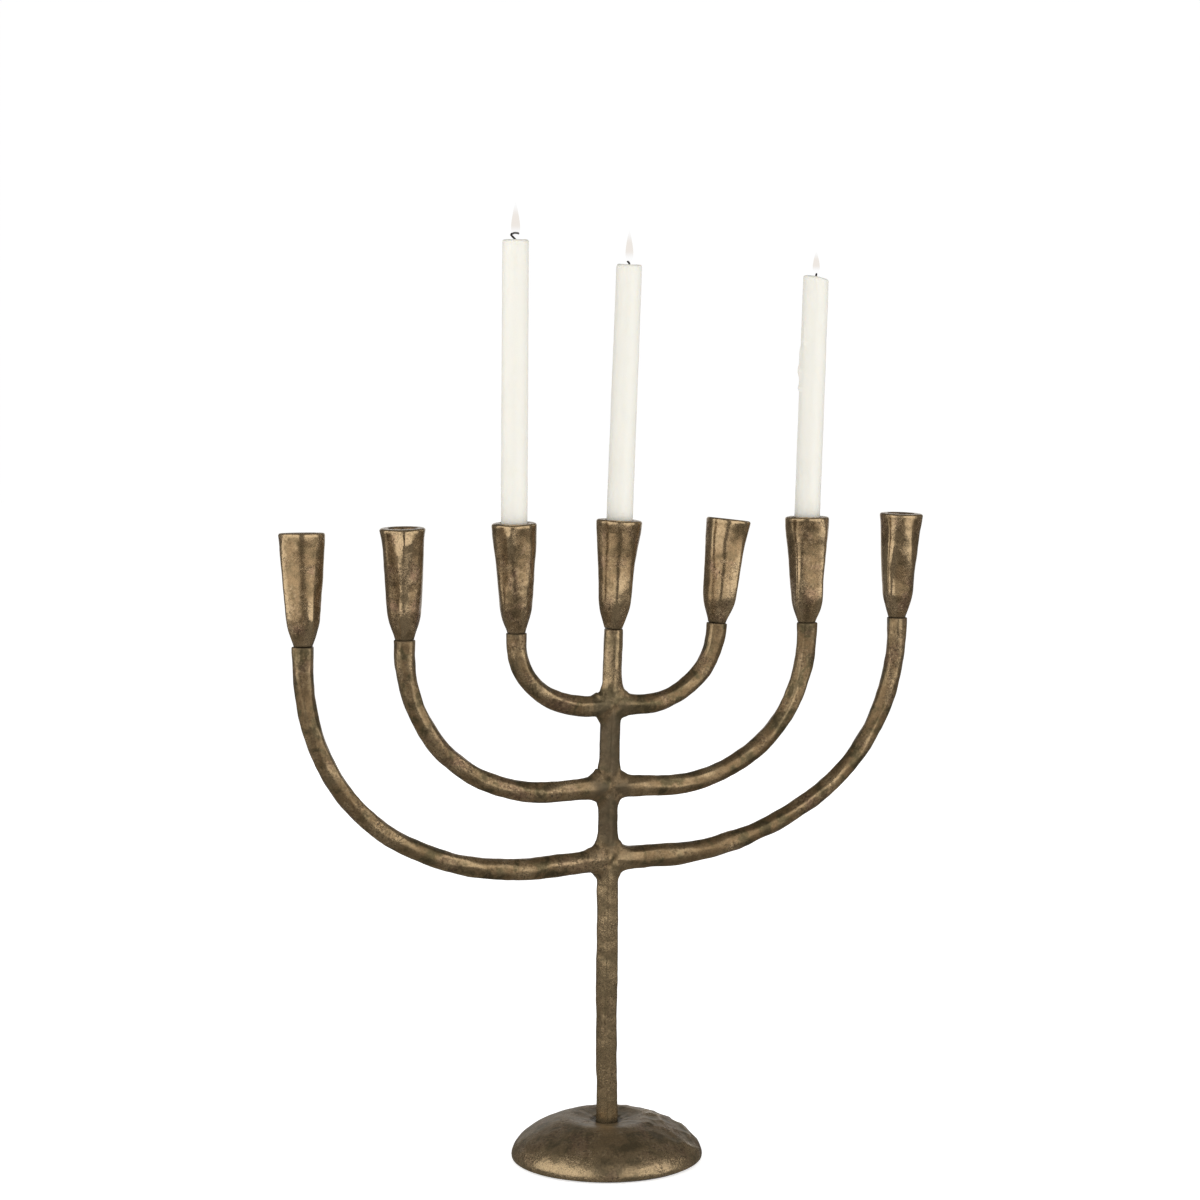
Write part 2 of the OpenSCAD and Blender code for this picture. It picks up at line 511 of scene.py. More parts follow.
def vectors_of(mesh: bpy.types.Mesh, what: str = "co") -> np.ndarray:
    """A vector of each of a mesh's vertices, one a row: its place, or its normal."""
    flat = np.empty(len(mesh.vertices) * 3, np.float32)
    mesh.vertices.foreach_get(what, flat)
    return flat.reshape(-1, 3).astype(float)


def move_points(mesh: bpy.types.Mesh, points: np.ndarray) -> None:
    """Moves a mesh's vertices to new places."""
    mesh.vertices.foreach_set("co", points.astype(np.float32).ravel())


def paint_marks(mesh: bpy.types.Mesh, marks: dict[str, np.ndarray]) -> None:
    """Gives a mesh's vertices numbers, by the name that finishes read them by."""
    for mark, numbers in marks.items():
        layer = mesh.attributes.new(mark, "FLOAT", "POINT")
        layer.data.foreach_set("value", np.asarray(numbers, np.float32))


def soften(mesh: bpy.types.Mesh, angle: float) -> None:
    """Shades a mesh smooth, but for edges sharper than an angle in degrees."""
    mesh.shade_smooth()
    mesh.set_sharp_from_angle(angle=math.radians(angle))


def new_object(name: str, data: bpy.types.ID) -> bpy.types.Object:
    """Makes an object and links it to the scene."""
    made = bpy.data.objects.new(name, data)
    bpy.context.scene.collection.objects.link(made)
    return made


def node_points(node: str) -> np.ndarray:
    """The places of a CAD node's vertices, one a row."""
    return vectors_of(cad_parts[node].data)


def node_triangles(node: str) -> np.ndarray:
    """The corners of a CAD node's triangles, as (triangle, corner, axis)."""
    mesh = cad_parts[node].data
    mesh.calc_loop_triangles()
    corners = np.empty(len(mesh.loop_triangles) * 3, np.int32)
    mesh.loop_triangles.foreach_get("vertices", corners)
    return node_points(node)[corners.reshape(-1, 3)]


def section(
    triangles: np.ndarray, point: np.ndarray, normal: np.ndarray, reach: float
) -> tuple[np.ndarray, float] | None:
    """Cuts a bar with a plane.

    Args:
        triangles: the bar's triangles.
        point: a point on the plane, near the bar's centre line.
        normal: the plane's normal.
        reach: how far from the point the cut counts.

    Returns:
        The centre and the radius of the cut, or None where the plane misses the bar.
    """
    side = (triangles - point) @ normal
    cut = (side.min(1) < 0) & (side.max(1) > 0)
    corner, side = triangles[cut], side[cut]
    ends = []
    for i in range(3):
        j = (i + 1) % 3
        crosses = side[:, i] * side[:, j] < 0
        gap = np.where(crosses, side[:, i] - side[:, j], np.nan)
        share = side[:, i] / gap
        ends.append(corner[:, i] + share[:, None] * (corner[:, j] - corner[:, i]))
    ends = np.stack(ends, 1)
    ends = ends[(~np.isnan(ends[:, :, 0])).sum(1) == 2]
    middle = np.nanmean(ends, 1)
    length = np.linalg.norm(np.nanmax(ends, 1) - np.nanmin(ends, 1), axis=1)
    near = np.linalg.norm(middle - point, axis=1) < reach
    middle, length = middle[near], length[near]
    if length.sum() < 2 * reach:
        return None
    centre = (middle * length[:, None]).sum(0) / length.sum()
    return centre, np.linalg.norm(middle - centre, axis=1).max()


def follow(
    node: str, start: np.ndarray, heading: np.ndarray, step: float, reach: float
) -> np.ndarray:
    """Walks along a bar of the frame.

    Args:
        node: the bar's CAD node.
        start: the middle of one of its ends.
        heading: the way from there into the bar.
        step: how far to go between sections.
        reach: half the width of the widest section, and a bit more.

    Returns:
        The points of the centre line from the start, one a row.
    """
    triangles = node_triangles(node)
    line = [np.array(start, float)]
    heading = unit(np.array(heading, float))
    while found := section(triangles, line[-1] + heading * step, heading, reach):
        forward = unit(found[0] - line[-1])
        line.append(found[0])
        heading = unit(heading + forward) if len(line) > 2 else heading
    return np.array(line)


def axis_of(node: str) -> tuple[np.ndarray, np.ndarray, float]:
    """Finds the axis of a long round CAD node that stands up.

    Args:
        node: the node.

    Returns:
        The middle of its foot, the way up along it, and its length.
    """
    points = node_points(node)
    points = np.unique(points.round(7), axis=0)
    middle = (points.min(0) + points.max(0)) / 2
    way = np.linalg.svd(points - middle, full_matrices=False)[2][0]
    way = way if way[2] > 0 else -way
    reach = (points - middle) @ way
    foot_points = points[reach < reach.min() + 1e-4]
    top_points = points[reach > reach.max() - 3e-4]
    foot = (foot_points.min(0) + foot_points.max(0)) / 2
    top = (top_points.min(0) + top_points.max(0)) / 2
    return foot, unit(top - foot), float(reach.max() - reach.min())


@dataclass(frozen=True)
class Stand:
    """A place and the way up there, for pieces that are built upright."""

    foot: np.ndarray
    up: np.ndarray

    def ring(self, height: float, radius: np.ndarray | float, turns: np.ndarray) -> np.ndarray:
        """A ring about the stand's axis.

        Args:
            height: how far up the axis it is.
            radius: its radius at each turn.
            turns: the angles of its points, from +X towards +Y.

        Returns:
            The ring's points, one a row.
        """
        across = unit(np.cross(AWAY, self.up))
        behind = np.cross(self.up, across)
        out = np.cos(turns)[:, None] * across + np.sin(turns)[:, None] * behind
        return self.foot + self.up * height + out * np.broadcast_to(radius, turns.shape)[:, None]


def turns_of(count: int) -> np.ndarray:
    """Angles all the way round, evenly spaced."""
    return np.arange(count) * (2 * math.pi / count)


def new_piece(
    name: str, points: np.ndarray, faces: list[tuple[int, ...]], marks: dict[str, np.ndarray]
) -> bpy.types.Object:
    """Makes a smooth-shaded mesh object.

    Args:
        name: the piece's name.
        points: its vertices, one a row.
        faces: the vertex numbers of each face.
        marks: a number for each vertex, by the name that finishes read it by.

    Returns:
        The object.
    """
    mesh = bpy.data.meshes.new(name)
    mesh.from_pydata(points.tolist(), [], faces)
    paint_marks(mesh, marks)
    mesh.validate()
    soften(mesh, 55)
    return new_object(name, mesh)


@dataclass
class Skin:
    """Rings of points that close into one skin."""

    rings: list[np.ndarray] = field(default_factory=list)
    wear_and_glint: list[np.ndarray] = field(default_factory=list)
    grime_and_shade: list[np.ndarray] = field(default_factory=list)

    def add(
        self, ring: np.ndarray, wear_and_glint: np.ndarray | float = 0.0, grime_and_shade: np.ndarray | float = 0.0
    ) -> None:
        """Adds the next ring, with how rubbed and how dirty it is, where rubbed also means painted
        highlight and dirty also means painted shade.
        """
        self.rings.append(ring)
        self.wear_and_glint.append(np.broadcast_to(wear_and_glint, len(ring)))
        self.grime_and_shade.append(np.broadcast_to(grime_and_shade, len(ring)))

    def piece(self, name: str, looped: bool = False) -> bpy.types.Object:
        """Closes the rings into a piece.

        Args:
            name: the piece's name.
            looped: whether the last ring joins the first. If not, each end is closed
                by a fan.

        Returns:
            The piece.
        """
        count, round_count = len(self.rings), len(self.rings[0])
        faces = []
        for i in range(count if looped else count - 1):
            low, high = i * round_count, (i + 1) % count * round_count
            for j in range(round_count):
                k = (j + 1) % round_count
                faces.append((low + j, low + k, high + k, high + j))
        points = [*self.rings]
        wear_and_glint, grime_and_shade = [*self.wear_and_glint], [*self.grime_and_shade]
        if not looped:
            first, last = count * round_count, count * round_count + 1
            top = (count - 1) * round_count
            for j in range(round_count):
                k = (j + 1) % round_count
                faces.append((first, k, j))
                faces.append((last, top + j, top + k))
            points += [self.rings[0].mean(0)[None], self.rings[-1].mean(0)[None]]
            wear_and_glint += [self.wear_and_glint[0][:1], self.wear_and_glint[-1][:1]]
            grime_and_shade += [self.grime_and_shade[0][:1], self.grime_and_shade[-1][:1]]
        marks = {"wear_and_glint": np.concatenate(wear_and_glint), "grime_and_shade": np.concatenate(grime_and_shade)}
        return new_piece(name, np.concatenate(points), faces, marks)


def dress(
    piece: bpy.types.Object, finish: Any, slot: Slot | None, body: Body, *nodes: str
) -> None:
    """Gives a piece its finish and its place in the model.

    Args:
        piece: the piece.
        finish: the finish, which has a material method.
        slot: the record's slot that the finish belongs to, if it has one; not used.
        body: the body that the piece rides on.
        nodes: the CAD nodes that it stands for.
    """
    piece.data.materials.clear()
    piece.data.materials.append(finish.material())
    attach(piece, body.value)
    if nodes:
        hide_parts(*nodes)


# ---- the casting ----


@dataclass
class Bar:
    """A hand-worked bar of the casting, along the centre line of its CAD node."""

    node: str
    line: np.ndarray
    radius: float
    girth: tuple[tuple[float, float], ...]
    seed: int
    faces: int = 6
    blow: float = 0.0185
    blow_reach: float = 0.026
    bow_r: float = 0.19
    chop: float = 0.072
    ridge: float = 1.035
    sharp: float = 24.0
    swell: float = 0.00055
    twist: float = 0.38
    stray: tuple[float, float, float] = (0.45, 0.26, 0.45)
    chord: float = 0.004
    batch: int = 6000

    def __post_init__(self) -> None:
        """Measures the line and picks where each blow of the hammer fell."""
        self.arc = np.concatenate([[0.0], np.cumsum(np.linalg.norm(np.diff(self.line, axis=0), axis=1))])
        self.length = float(self.arc[-1])
        dice = np.random.default_rng(self.seed)
        rows = int(self.length / self.blow) + 2
        row, face = np.divmod(np.arange(rows * self.faces), self.faces)
        twist = np.cumsum(dice.uniform(-self.twist, self.twist, rows))
        along, turned, deep = dice.uniform(-1, 1, (3, len(row))) * np.array(self.stray)[:, None]
        self.blow_arc = (row - 0.5 + along) * self.blow
        self.blow_turn = (face + turned) * 2 * math.pi / self.faces + twist[row]
        self.blow_depth = self.chop * (0.9 + deep)
        self.evened = 1.0
        arc, angle = np.meshgrid(np.linspace(0, self.length, 90), turns_of(40))
        spread = self.radius_at(arc.ravel(), angle.ravel()) / self.plain_at(arc.ravel())
        self.evened = 1 / float(spread.mean())

    def plain_at(self, arc: np.ndarray) -> np.ndarray:
        """The bar's mean radius at those distances along it."""
        shares, factors = np.array(self.girth).T
        return self.radius * np.interp(arc / self.length, shares, factors)

    def radius_at(self, arc: np.ndarray, angle: np.ndarray) -> np.ndarray:
        """The bar's radius, with the flats that the hammer left.

        Args:
            arc: how far along the bar each point is.
            angle: the way that it faces, round the bar.

        Returns:
            The radius at each point.
        """
        total = np.full(arc.shape, self.ridge**-self.sharp)
        within = (self.blow_arc > arc.min() - self.blow_reach) & (
            self.blow_arc < arc.max() + self.blow_reach
        )
        for blow in np.flatnonzero(within):
            off = arc - self.blow_arc[blow]
            near = np.abs(off) < self.blow_reach
            facing = np.maximum(np.cos(angle[near] - self.blow_turn[blow]), 0.3)
            bow = off[near] ** 2 / (2 * self.bow_r * self.radius)
            total[near] += ((1 - self.blow_depth[blow]) / facing + bow) ** -self.sharp
        return self.plain_at(arc) * self.evened * total ** (-1 / self.sharp)

    def at(self, arc: np.ndarray) -> tuple[np.ndarray, np.ndarray]:
        """The centre line's points and directions at those distances along it."""
        along = self._point(arc + self.chord) - self._point(arc - self.chord)
        return self._point(arc), along / np.linalg.norm(along, axis=-1, keepdims=True)

    def _point(self, arc: np.ndarray) -> np.ndarray:
        """Points of the centre line, which is run on straight past its ends."""
        inside = np.clip(arc, 0, self.length)
        point = np.stack([np.interp(inside, self.arc, self.line[:, i]) for i in range(3)], -1)
        start, end = unit(self.line[2] - self.line[0]), unit(self.line[-1] - self.line[-3])
        past = np.asarray(arc - inside)[..., None]
        return point + np.where(past > 0, past * end, past * start)

    def ring(self, arc: float, turns: np.ndarray, inset: float = 0.0) -> tuple[np.ndarray, np.ndarray]:
        """A ring of the bar's surface.

        Args:
            arc: how far along the bar it is.
            turns: the angles of its points.
            inset: how far inside the surface it lies.

        Returns:
            The ring's points, and how proud of the mean surface each one stands.
        """
        centre, along = self.at(np.array(arc))
        above = np.cross(along, AWAY)
        out = np.cos(turns)[:, None] * above + np.sin(turns)[:, None] * AWAY
        radius = self.radius_at(np.full(turns.shape, arc), turns)
        points = centre + out * (radius - inset)[:, None]
        lump = self.lump(points)
        proud = radius / radius.mean() - 1 + lump / self.radius
        return points + out * lump[:, None], proud

    def lump(self, points: np.ndarray) -> np.ndarray:
        """How far the casting's lumps push each point out."""
        broad = clumps(points, 0.021, 5) * self.swell
        return broad + clumps(points, 0.0070, 9) * self.swell * 0.5

    def level(self, points: np.ndarray) -> tuple[np.ndarray, np.ndarray, np.ndarray, np.ndarray]:
        """Measures points against the bar's surface.

        Args:
            points: places, one a row.

        Returns:
            How far outside the surface each point is, the way out from the centre
            line, the nearest point of the centre line, and how far along it that is.
        """
        start, leg = self.line[:-1], np.diff(self.line, axis=0)
        parts = []
        for some in np.array_split(points, max(1, len(points) // self.batch)):
            gap = some[:, None] - start
            share = np.clip((gap * leg).sum(2) / (leg * leg).sum(1), 0, 1)
            away = np.linalg.norm(gap - share[..., None] * leg, axis=2)
            best = away.argmin(1)
            share = share[np.arange(len(some)), best]
            reach = self.arc[best] + share * np.diff(self.arc)[best]
            parts.append((start[best] + share[:, None] * leg[best], reach))
        centre, arc = (np.concatenate(column) for column in zip(*parts))
        out = points - centre
        away = np.linalg.norm(out, axis=1)
        out = out / np.maximum(away, 1e-9)[:, None]
        above = np.cross(self.at(arc)[1], AWAY)
        angle = np.arctan2(out @ AWAY, (out * above).sum(1))
        return away - self.radius_at(arc, angle), out, centre, arc


@dataclass(frozen=True)
class ArmPlan:
    """What one arm of the casting looks like, beyond what its CAD node says."""

    node: str
    cup: int
    side: Side
    girth: tuple[tuple[float, float], ...]
    wear_and_glint: float = 0.32


@dataclass
class CastTree:
    """The stem with its six arms: one casting, which is dressed as seven pieces."""

    finish: CastBrass
    arms: tuple[ArmPlan, ...]
    stem_girth: tuple[tuple[float, float], ...]
    cut_left: float = -0.0275
    cut_right: float = 0.0300
    fillet_above: float = 0.0178
    fillet_under: float = 0.0115
    stub: float = 0.006
    pitch: float = 0.0016
    round_count: int = 44
    tip_round: float = 0.0010
    voxel: float = 0.0011
    crossing: float = 0.045
    fixed_end: float = 0.0015
    largest_step: float = 0.002
    inner_depth: float = 0.0045

    def build(self) -> list[bpy.types.Object]:
        """Builds the seven pieces.

        Returns:
            The stem and the arms.
        """
        self.stem = self._stem_bar()
        self.bars = [self._arm_bar(plan, seed) for seed, plan in enumerate(self.arms, 11)]
        pieces = [self._stem_piece()]
        for plan, bar in zip(self.arms, self.bars):
            pieces.append(self._arm_piece(plan, bar))
        for piece, node in zip(pieces, ["stem", *(plan.node for plan in self.arms)]):
            dress(piece, self.finish, Slot.BRASS, Body.MENORAH, node)
        return pieces

    def _stem_bar(self) -> Bar:
        """The stem's bar, from its foot inside the base to the middle cup."""
        low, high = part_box("stem")
        foot = np.array([0.0, 0.0, low.z])
        line = follow("stem", foot, UP, 0.004, 0.014)
        radius = (high.y - low.y) / 2
        return Bar(
            "stem", np.vstack([line, seam_of(4)[0]]), radius, self.stem_girth, 3,
            faces=5, blow=0.042, blow_reach=0.058, bow_r=0.95, chop=0.090,
        )

    def _arm_bar(self, plan: ArmPlan, seed: int) -> Bar:
        """One arm's bar, from the stem's axis to its cup."""
        seam, up = seam_of(plan.cup)
        line = follow(plan.node, seam, -up, 0.003, 0.012)[::-1]
        low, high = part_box(plan.node)
        return Bar(plan.node, line, (high.y - low.y) / 2, plan.girth, seed)

    def _tube(self, bar: Bar, end: float) -> bpy.types.Object:
        """A plain closed tube along the first part of a bar."""
        skin = Skin()
        for arc in np.arange(0.0, end, 0.003):
            skin.add(bar.ring(float(arc), turns_of(28))[0])
        skin.add(bar.ring(end, turns_of(28))[0])
        return skin.piece("rough_" + bar.node)

    def _cut_arc(self, bar: Bar, side: Side) -> float:
        """How far along an arm the plane that parts it from the stem is."""
        cut = self.cut_left if side is Side.LEFT else self.cut_right
        first_half = slice(len(bar.line) // 2)
        across = bar.line[first_half, 0] * side.value
        return float(np.interp(cut * side.value, across, bar.arc[first_half]))

    def _blend(self, points: np.ndarray) -> tuple[np.ndarray, np.ndarray, np.ndarray, np.ndarray]:
        """Measures points against the stem and arms, joined by fillets.

        Args:
            points: places, one a row.

        Returns:
            How far outside the surface each point is, the way out, how deep in a
            fillet it is, and how far along the stem.
        """
        level, out, _, arc = self.stem.level(points)
        crotch = np.zeros(len(points))
        for bar in self.bars:
            near = np.abs(points[:, 2] - bar.line[0, 2]) < self.crossing
            other, way, centre, _ = bar.level(points[near])
            high = 0.5 + 0.5 * np.clip((points[near, 2] - centre[:, 2]) / bar.radius, -1, 1)
            width = self.fillet_under + (self.fillet_above - self.fillet_under) * high
            width = width * (1 - np.maximum(0, (out[near] * way).sum(1))) + 1e-5
            gap = level[near] - other
            bulge = np.clip(1 - np.abs(gap) / width, 0, 1) ** 2
            share = np.clip(0.5 + 0.5 * gap / width, 0, 1)[:, None]
            level[near] = np.minimum(level[near], other) - bulge * width / 4
            out[near] = out[near] * (1 - share) + way * share
            crotch[near] = np.maximum(crotch[near], bulge)
        return level, out, crotch, arc

    def _settle(self, points: np.ndarray) -> tuple[np.ndarray, np.ndarray]:
        """Moves points onto the joined surface.

        Args:
            points: places near it, one a row.

        Returns:
            The moved points, and how deep in a fillet each one is.
        """
        for _ in range(4):
            level, out, crotch, arc = self._blend(points)
            inner = (arc > self.fixed_end) & (arc < self.stem.length - self.fixed_end)
            size = np.maximum((out * out).sum(1), 0.2)
            step = np.clip(level / size, -self.largest_step, self.largest_step) * inner
            step[level < -self.inner_depth] = 0.0
            points = points - out * step[:, None]
        return points, crotch

    def _remeshed(self, source: bpy.types.Object) -> bpy.types.Object:
        """The source as one even skin of small faces. The source is used up."""
        modifier = source.modifiers.new("skin", "REMESH")
        modifier.mode = "VOXEL"
        modifier.voxel_size = self.voxel
        graph = bpy.context.evaluated_depsgraph_get()
        mesh = bpy.data.meshes.new_from_object(source.evaluated_get(graph))
        bpy.data.objects.remove(source)
        return new_object("skin", mesh)

    def _stem_piece(self) -> bpy.types.Object:
        """The stem with a stub for each arm, filleted like a casting."""
        parts = [self._tube(self.stem, self.stem.length)]
        for plan, bar in zip(self.arms, self.bars):
            parts.append(self._tube(bar, self._cut_arc(bar, plan.side) + self.stub))
        mesh = bpy.data.meshes.new("rough")
        joined = bmesh.new()
        for part in parts:
            joined.from_mesh(part.data)
            bpy.data.objects.remove(part)
        joined.to_mesh(mesh)
        joined.free()
        rough = new_object("rough", mesh)
        for _ in range(2):
            rough = self._remeshed(rough)
            points, crotch = self._settle(vectors_of(rough.data))
            move_points(rough.data, points)
            rough.data.update()
        return self._trimmed_stem(rough, points, crotch)

    def _trimmed_stem(
        self, rough: bpy.types.Object, points: np.ndarray, crotch: np.ndarray
    ) -> bpy.types.Object:
        """Adds lumps to the settled stem, paints shade at its joints and between the arms, and cuts it
        where the arms begin.
        """
        mesh = rough.data
        normals = vectors_of(mesh, "normal")
        weld = np.clip(crotch * 3, 0, 1)
        lump = self.stem.lump(points) + clumps(points, 0.0060, 21) * 0.0012 * weld
        points = points + normals * lump[:, None]
        arc = self.stem.level(points)[3]
        # Painted shade: dark where the stem enters the base, under the middle cup, and on the stem
        # between the arms, where it is also rubbed less.
        foot = 1 - soft_step(points[:, 2], BASE_TOP - 0.006, BASE_TOP + 0.003)
        top = soft_step(arc, self.stem.length - 0.002, self.stem.length)
        first, last = self.bars[0].line[0, 2], self.bars[2].line[0, 2]
        shade_among_arms = soft_step(points[:, 2], first - 0.01, first + 0.02)
        shade_among_arms = shade_among_arms * (1 - soft_step(points[:, 2], last - 0.01, last + 0.02))
        stub = soft_step(np.abs(points[:, 0]), 0.011, 0.025)
        shade_among_arms = shade_among_arms * (1 - stub)
        wear_and_glint = np.clip(0.68 + lump * 420, 0, 1) * (1 - 0.35 * weld) * (1 - 0.8 * shade_among_arms)
        wear_and_glint = wear_and_glint * (1 - stub) + 0.32 * stub
        grime_and_shade = np.clip(0.8 * foot + 0.8 * top + 0.80 * shade_among_arms * (1 - 0.5 * weld), 0, 1)
        move_points(mesh, points)
        paint_marks(mesh, {"wear_and_glint": wear_and_glint, "grime_and_shade": grime_and_shade})
        work = bmesh.new()
        work.from_mesh(mesh)
        for cut, normal in ((self.cut_left, (-1, 0, 0)), (self.cut_right, (1, 0, 0))):
            bmesh.ops.bisect_plane(
                work,
                geom=[*work.verts, *work.edges, *work.faces],
                plane_co=(cut, 0, 0),
                plane_no=normal,
                clear_outer=True,
            )
            rims = [edge for edge in work.edges if edge.is_boundary]
            bmesh.ops.holes_fill(work, edges=rims, sides=0)
        work.to_mesh(mesh)
        work.free()
        soften(mesh, 50)
        rough.name = mesh.name = "stem_casting"
        return rough

    def _arm_piece(self, plan: ArmPlan, bar: Bar) -> bpy.types.Object:
        """One arm, from the stem's stub to its cup."""
        turns = turns_of(self.round_count)
        cut = self.cut_left if plan.side is Side.LEFT else self.cut_right
        start = self._cut_arc(bar, plan.side)
        end = bar.length - self.tip_round
        skin = Skin()
        ring, proud = bar.ring(start, turns)
        along = bar.at(np.array(start))[1]
        ring = ring + along * ((cut - ring[:, 0]) / along[0])[:, None]
        skin.add(ring, np.clip(plan.wear_and_glint + proud * 5, 0, 1))
        # Painted shade: the last few millimetres darken into the seam with the cup, and the stud well is
        # painted dark.
        for arc in np.linspace(start, end, max(8, int((end - start) / self.pitch)))[2:]:
            ring, proud = bar.ring(float(arc), turns)
            tip = float(soft_step(arc, bar.length - 0.004, bar.length))
            skin.add(ring, np.clip(plan.wear_and_glint + proud * 5, 0, 1), 0.35 * tip)
        for turn in (30, 60, 90):
            lean = math.radians(turn)
            arc = end + self.tip_round * math.sin(lean)
            inset = self.tip_round * 1.2 * (1 - math.cos(lean))
            skin.add(bar.ring(arc, turns, inset)[0], 0.3, 0.5 + 0.4 * turn / 90)
        well = Stand(*seam_of(plan.cup))
        for height in (0.0, -STUD_WELL):
            skin.add(well.ring(height, STUD_R, turns + math.pi)[::-1], 0.0, 1.0)
        return skin.piece(plan.node + "_casting")


def seam_of(cup: int) -> tuple[np.ndarray, np.ndarray]:
    """Where a cup meets the casting.

    Args:
        cup: the cup's number, from 1 at the left to 7.

    Returns:
        The middle of the seam, and the way up along the cup.
    """
    foot, up, length = axis_of(f"cup_stud_{cup}")
    return foot + up * (length / 2), up


# ---- the cups ----


@dataclass(frozen=True)
class CupPlan:
    """What one cup looks like, beyond what its CAD node says."""

    number: int
    candle: str | None = None
    turn: float = 0.0


@dataclass
class CandleCup:
    """A tulip-shaped candle cup, turned and then hammered into long flats."""

    finish: CastBrass
    plan: CupPlan
    rim_r: float = 0.0189
    neck_r: float = 0.0075
    belly: tuple[float, float] = (0.0135, 0.022)
    lip: float = 0.0020
    socket_depth: float = 0.025
    socket_r: float = 0.0114
    mouth: float = 0.0010
    neck_round: float = 0.0007
    faces: int = 7
    flatness: float = 9.0
    jitter: float = 0.16
    wander: float = 0.16
    wander_length: float = 0.030
    ripple: float = 0.030
    ripple_length: float = 0.013
    round_count: int = 96

    def build(self) -> bpy.types.Object:
        """Builds the cup.

        Returns:
            The piece.
        """
        number = self.plan.number
        seam, up = seam_of(number)
        self.stand = Stand(seam, up)
        self.height = float(((node_points(f"cup_{number}") - seam) @ up).max())
        rim = seam + up * self.height
        bored = axis_of(self.plan.candle)[1] if self.plan.candle else up
        self.socket = Stand(rim, bored)
        self.dice = np.random.default_rng(40 + number)
        jitter = self.dice.uniform(-self.jitter, self.jitter, self.faces)
        self.face_turn = (np.arange(self.faces) + jitter) * 2 * math.pi / self.faces + self.plan.turn
        self.face_phase = self.dice.uniform(0, 2 * math.pi, (self.faces, 2))
        piece = self._skin().piece(f"cup_{number}_hammered")
        dress(piece, self.finish, Slot.BRASS, Body.MENORAH, f"cup_{number}")
        return piece

    def outline(self, height: float) -> float:
        """The turned radius at a height above the seam."""
        belly_r, belly_z = self.belly
        lip = (self.rim_r, self.height - self.lip)
        lower = ((self.neck_r, 0.0), (0.0089, 0.006), (0.0125, 0.013), (belly_r, belly_z))
        upper = ((belly_r, belly_z), (0.0149, 0.036), (0.0162, 0.066), lip)
        share = np.linspace(0, 1, 60)
        curve = []
        for a, b, c, d in (lower, upper):
            a, b, c, d = (np.array(p)[:, None] for p in (a, b, c, d))
            curve.append(
                (1 - share) ** 3 * a + 3 * (1 - share) ** 2 * share * b
                + 3 * (1 - share) * share**2 * c + share**3 * d
            )
        radius, level = np.concatenate(curve, axis=1)
        return float(np.interp(height, level, radius))

    def _flats(self, height: float, turns: np.ndarray) -> np.ndarray:
        """How far the hammered flats pull the surface in or out, as a factor."""
        total = 0.0
        for face in range(self.faces):
            slow = math.sin(height / self.ripple_length + self.face_phase[face, 0])
            twist = self.wander * math.sin(height / self.wander_length + self.face_phase[face, 1])
            depth = 1 + self.ripple * slow
            facing = np.cos(turns - self.face_turn[face] - twist)
            total = total + (np.maximum(facing, 0) / depth) ** self.flatness
        worked = total ** (-1 / self.flatness)
        worked = worked / worked.mean() - 1
        low = float(soft_step(height, -0.004, 0.012))
        high = 1 - 0.8 * float(soft_step(height, self.height - 0.012, self.height))
        return worked * low * high

    def _outer(self, skin: Skin, height: float, turns: np.ndarray, inset: float = 0.0) -> None:
        """Adds one ring of the outside."""
        flats = self._flats(height, turns)
        radius = (self.outline(min(height, self.height - self.lip)) - inset) * (1 + flats)
        ring = self.stand.ring(height, radius, turns)
        lump = clumps(ring, 0.022, 31) * 0.00055 + clumps(ring, 0.007, 33) * 0.00018
        ring = self.stand.ring(height, radius + lump, turns)
        edge = float(soft_step(height, self.height - 0.006, self.height - 0.001))
        wear_and_glint = np.clip(0.30 + flats * 8 + edge * 0.40 + lump * 500, 0, 1)
        # Painted shade: the foot of the neck darkens into its seam with the arm.
        grime_and_shade = 0.75 * float(1 - soft_step(height, 0.0004, 0.0035))
        skin.add(ring, wear_and_glint, grime_and_shade)

    def _skin(self) -> Skin:
        """The cup's rings, from the bottom of its stud hole to the socket's floor."""
        turns = turns_of(self.round_count)
        skin = Skin()
        # Painted shade: the stud hole is painted dark.
        for height in (STUD_WELL, 0.0):
            skin.add(self.stand.ring(height, STUD_R, turns), 0.0, 1.0)
        for lean in (90, 60, 30):
            inset = self.neck_round * (1 - math.cos(math.radians(lean)))
            self._outer(skin, self.neck_round * (1 - math.sin(math.radians(lean))), turns, inset)
        for height in np.linspace(self.neck_round, self.height - self.lip, 58):
            self._outer(skin, float(height), turns)
        for lean in (18, 36, 54, 72, 90):
            lift, draw = math.sin(math.radians(lean)), 1 - math.cos(math.radians(lean))
            self._outer(skin, self.height - self.lip * (1 - lift), turns, self.lip * draw)
        mouth_r = self.socket_r + self.mouth
        land = self.rim_r - self.lip
        for share in (0.35, 0.7):
            skin.add(self.socket.ring(0.0, land + (mouth_r - land) * share, turns), 0.45, 0.0)
        # Painted shade: the socket darkens from its mouth down to its floor.
        skin.add(self.socket.ring(0.0, mouth_r, turns), 0.5, 0.1)
        skin.add(self.socket.ring(-self.mouth, self.socket_r, turns), 0.2, 0.5)
        for depth in np.linspace(0.2, 1.0, 5) * self.socket_depth:
            skin.add(self.socket.ring(-depth, self.socket_r, turns), 0.0, 0.9)
        for share in (0.6, 0.25):
            skin.add(self.socket.ring(-self.socket_depth, self.socket_r * share, turns), 0.0, 1.0)
        return skin


# ---- the base ----


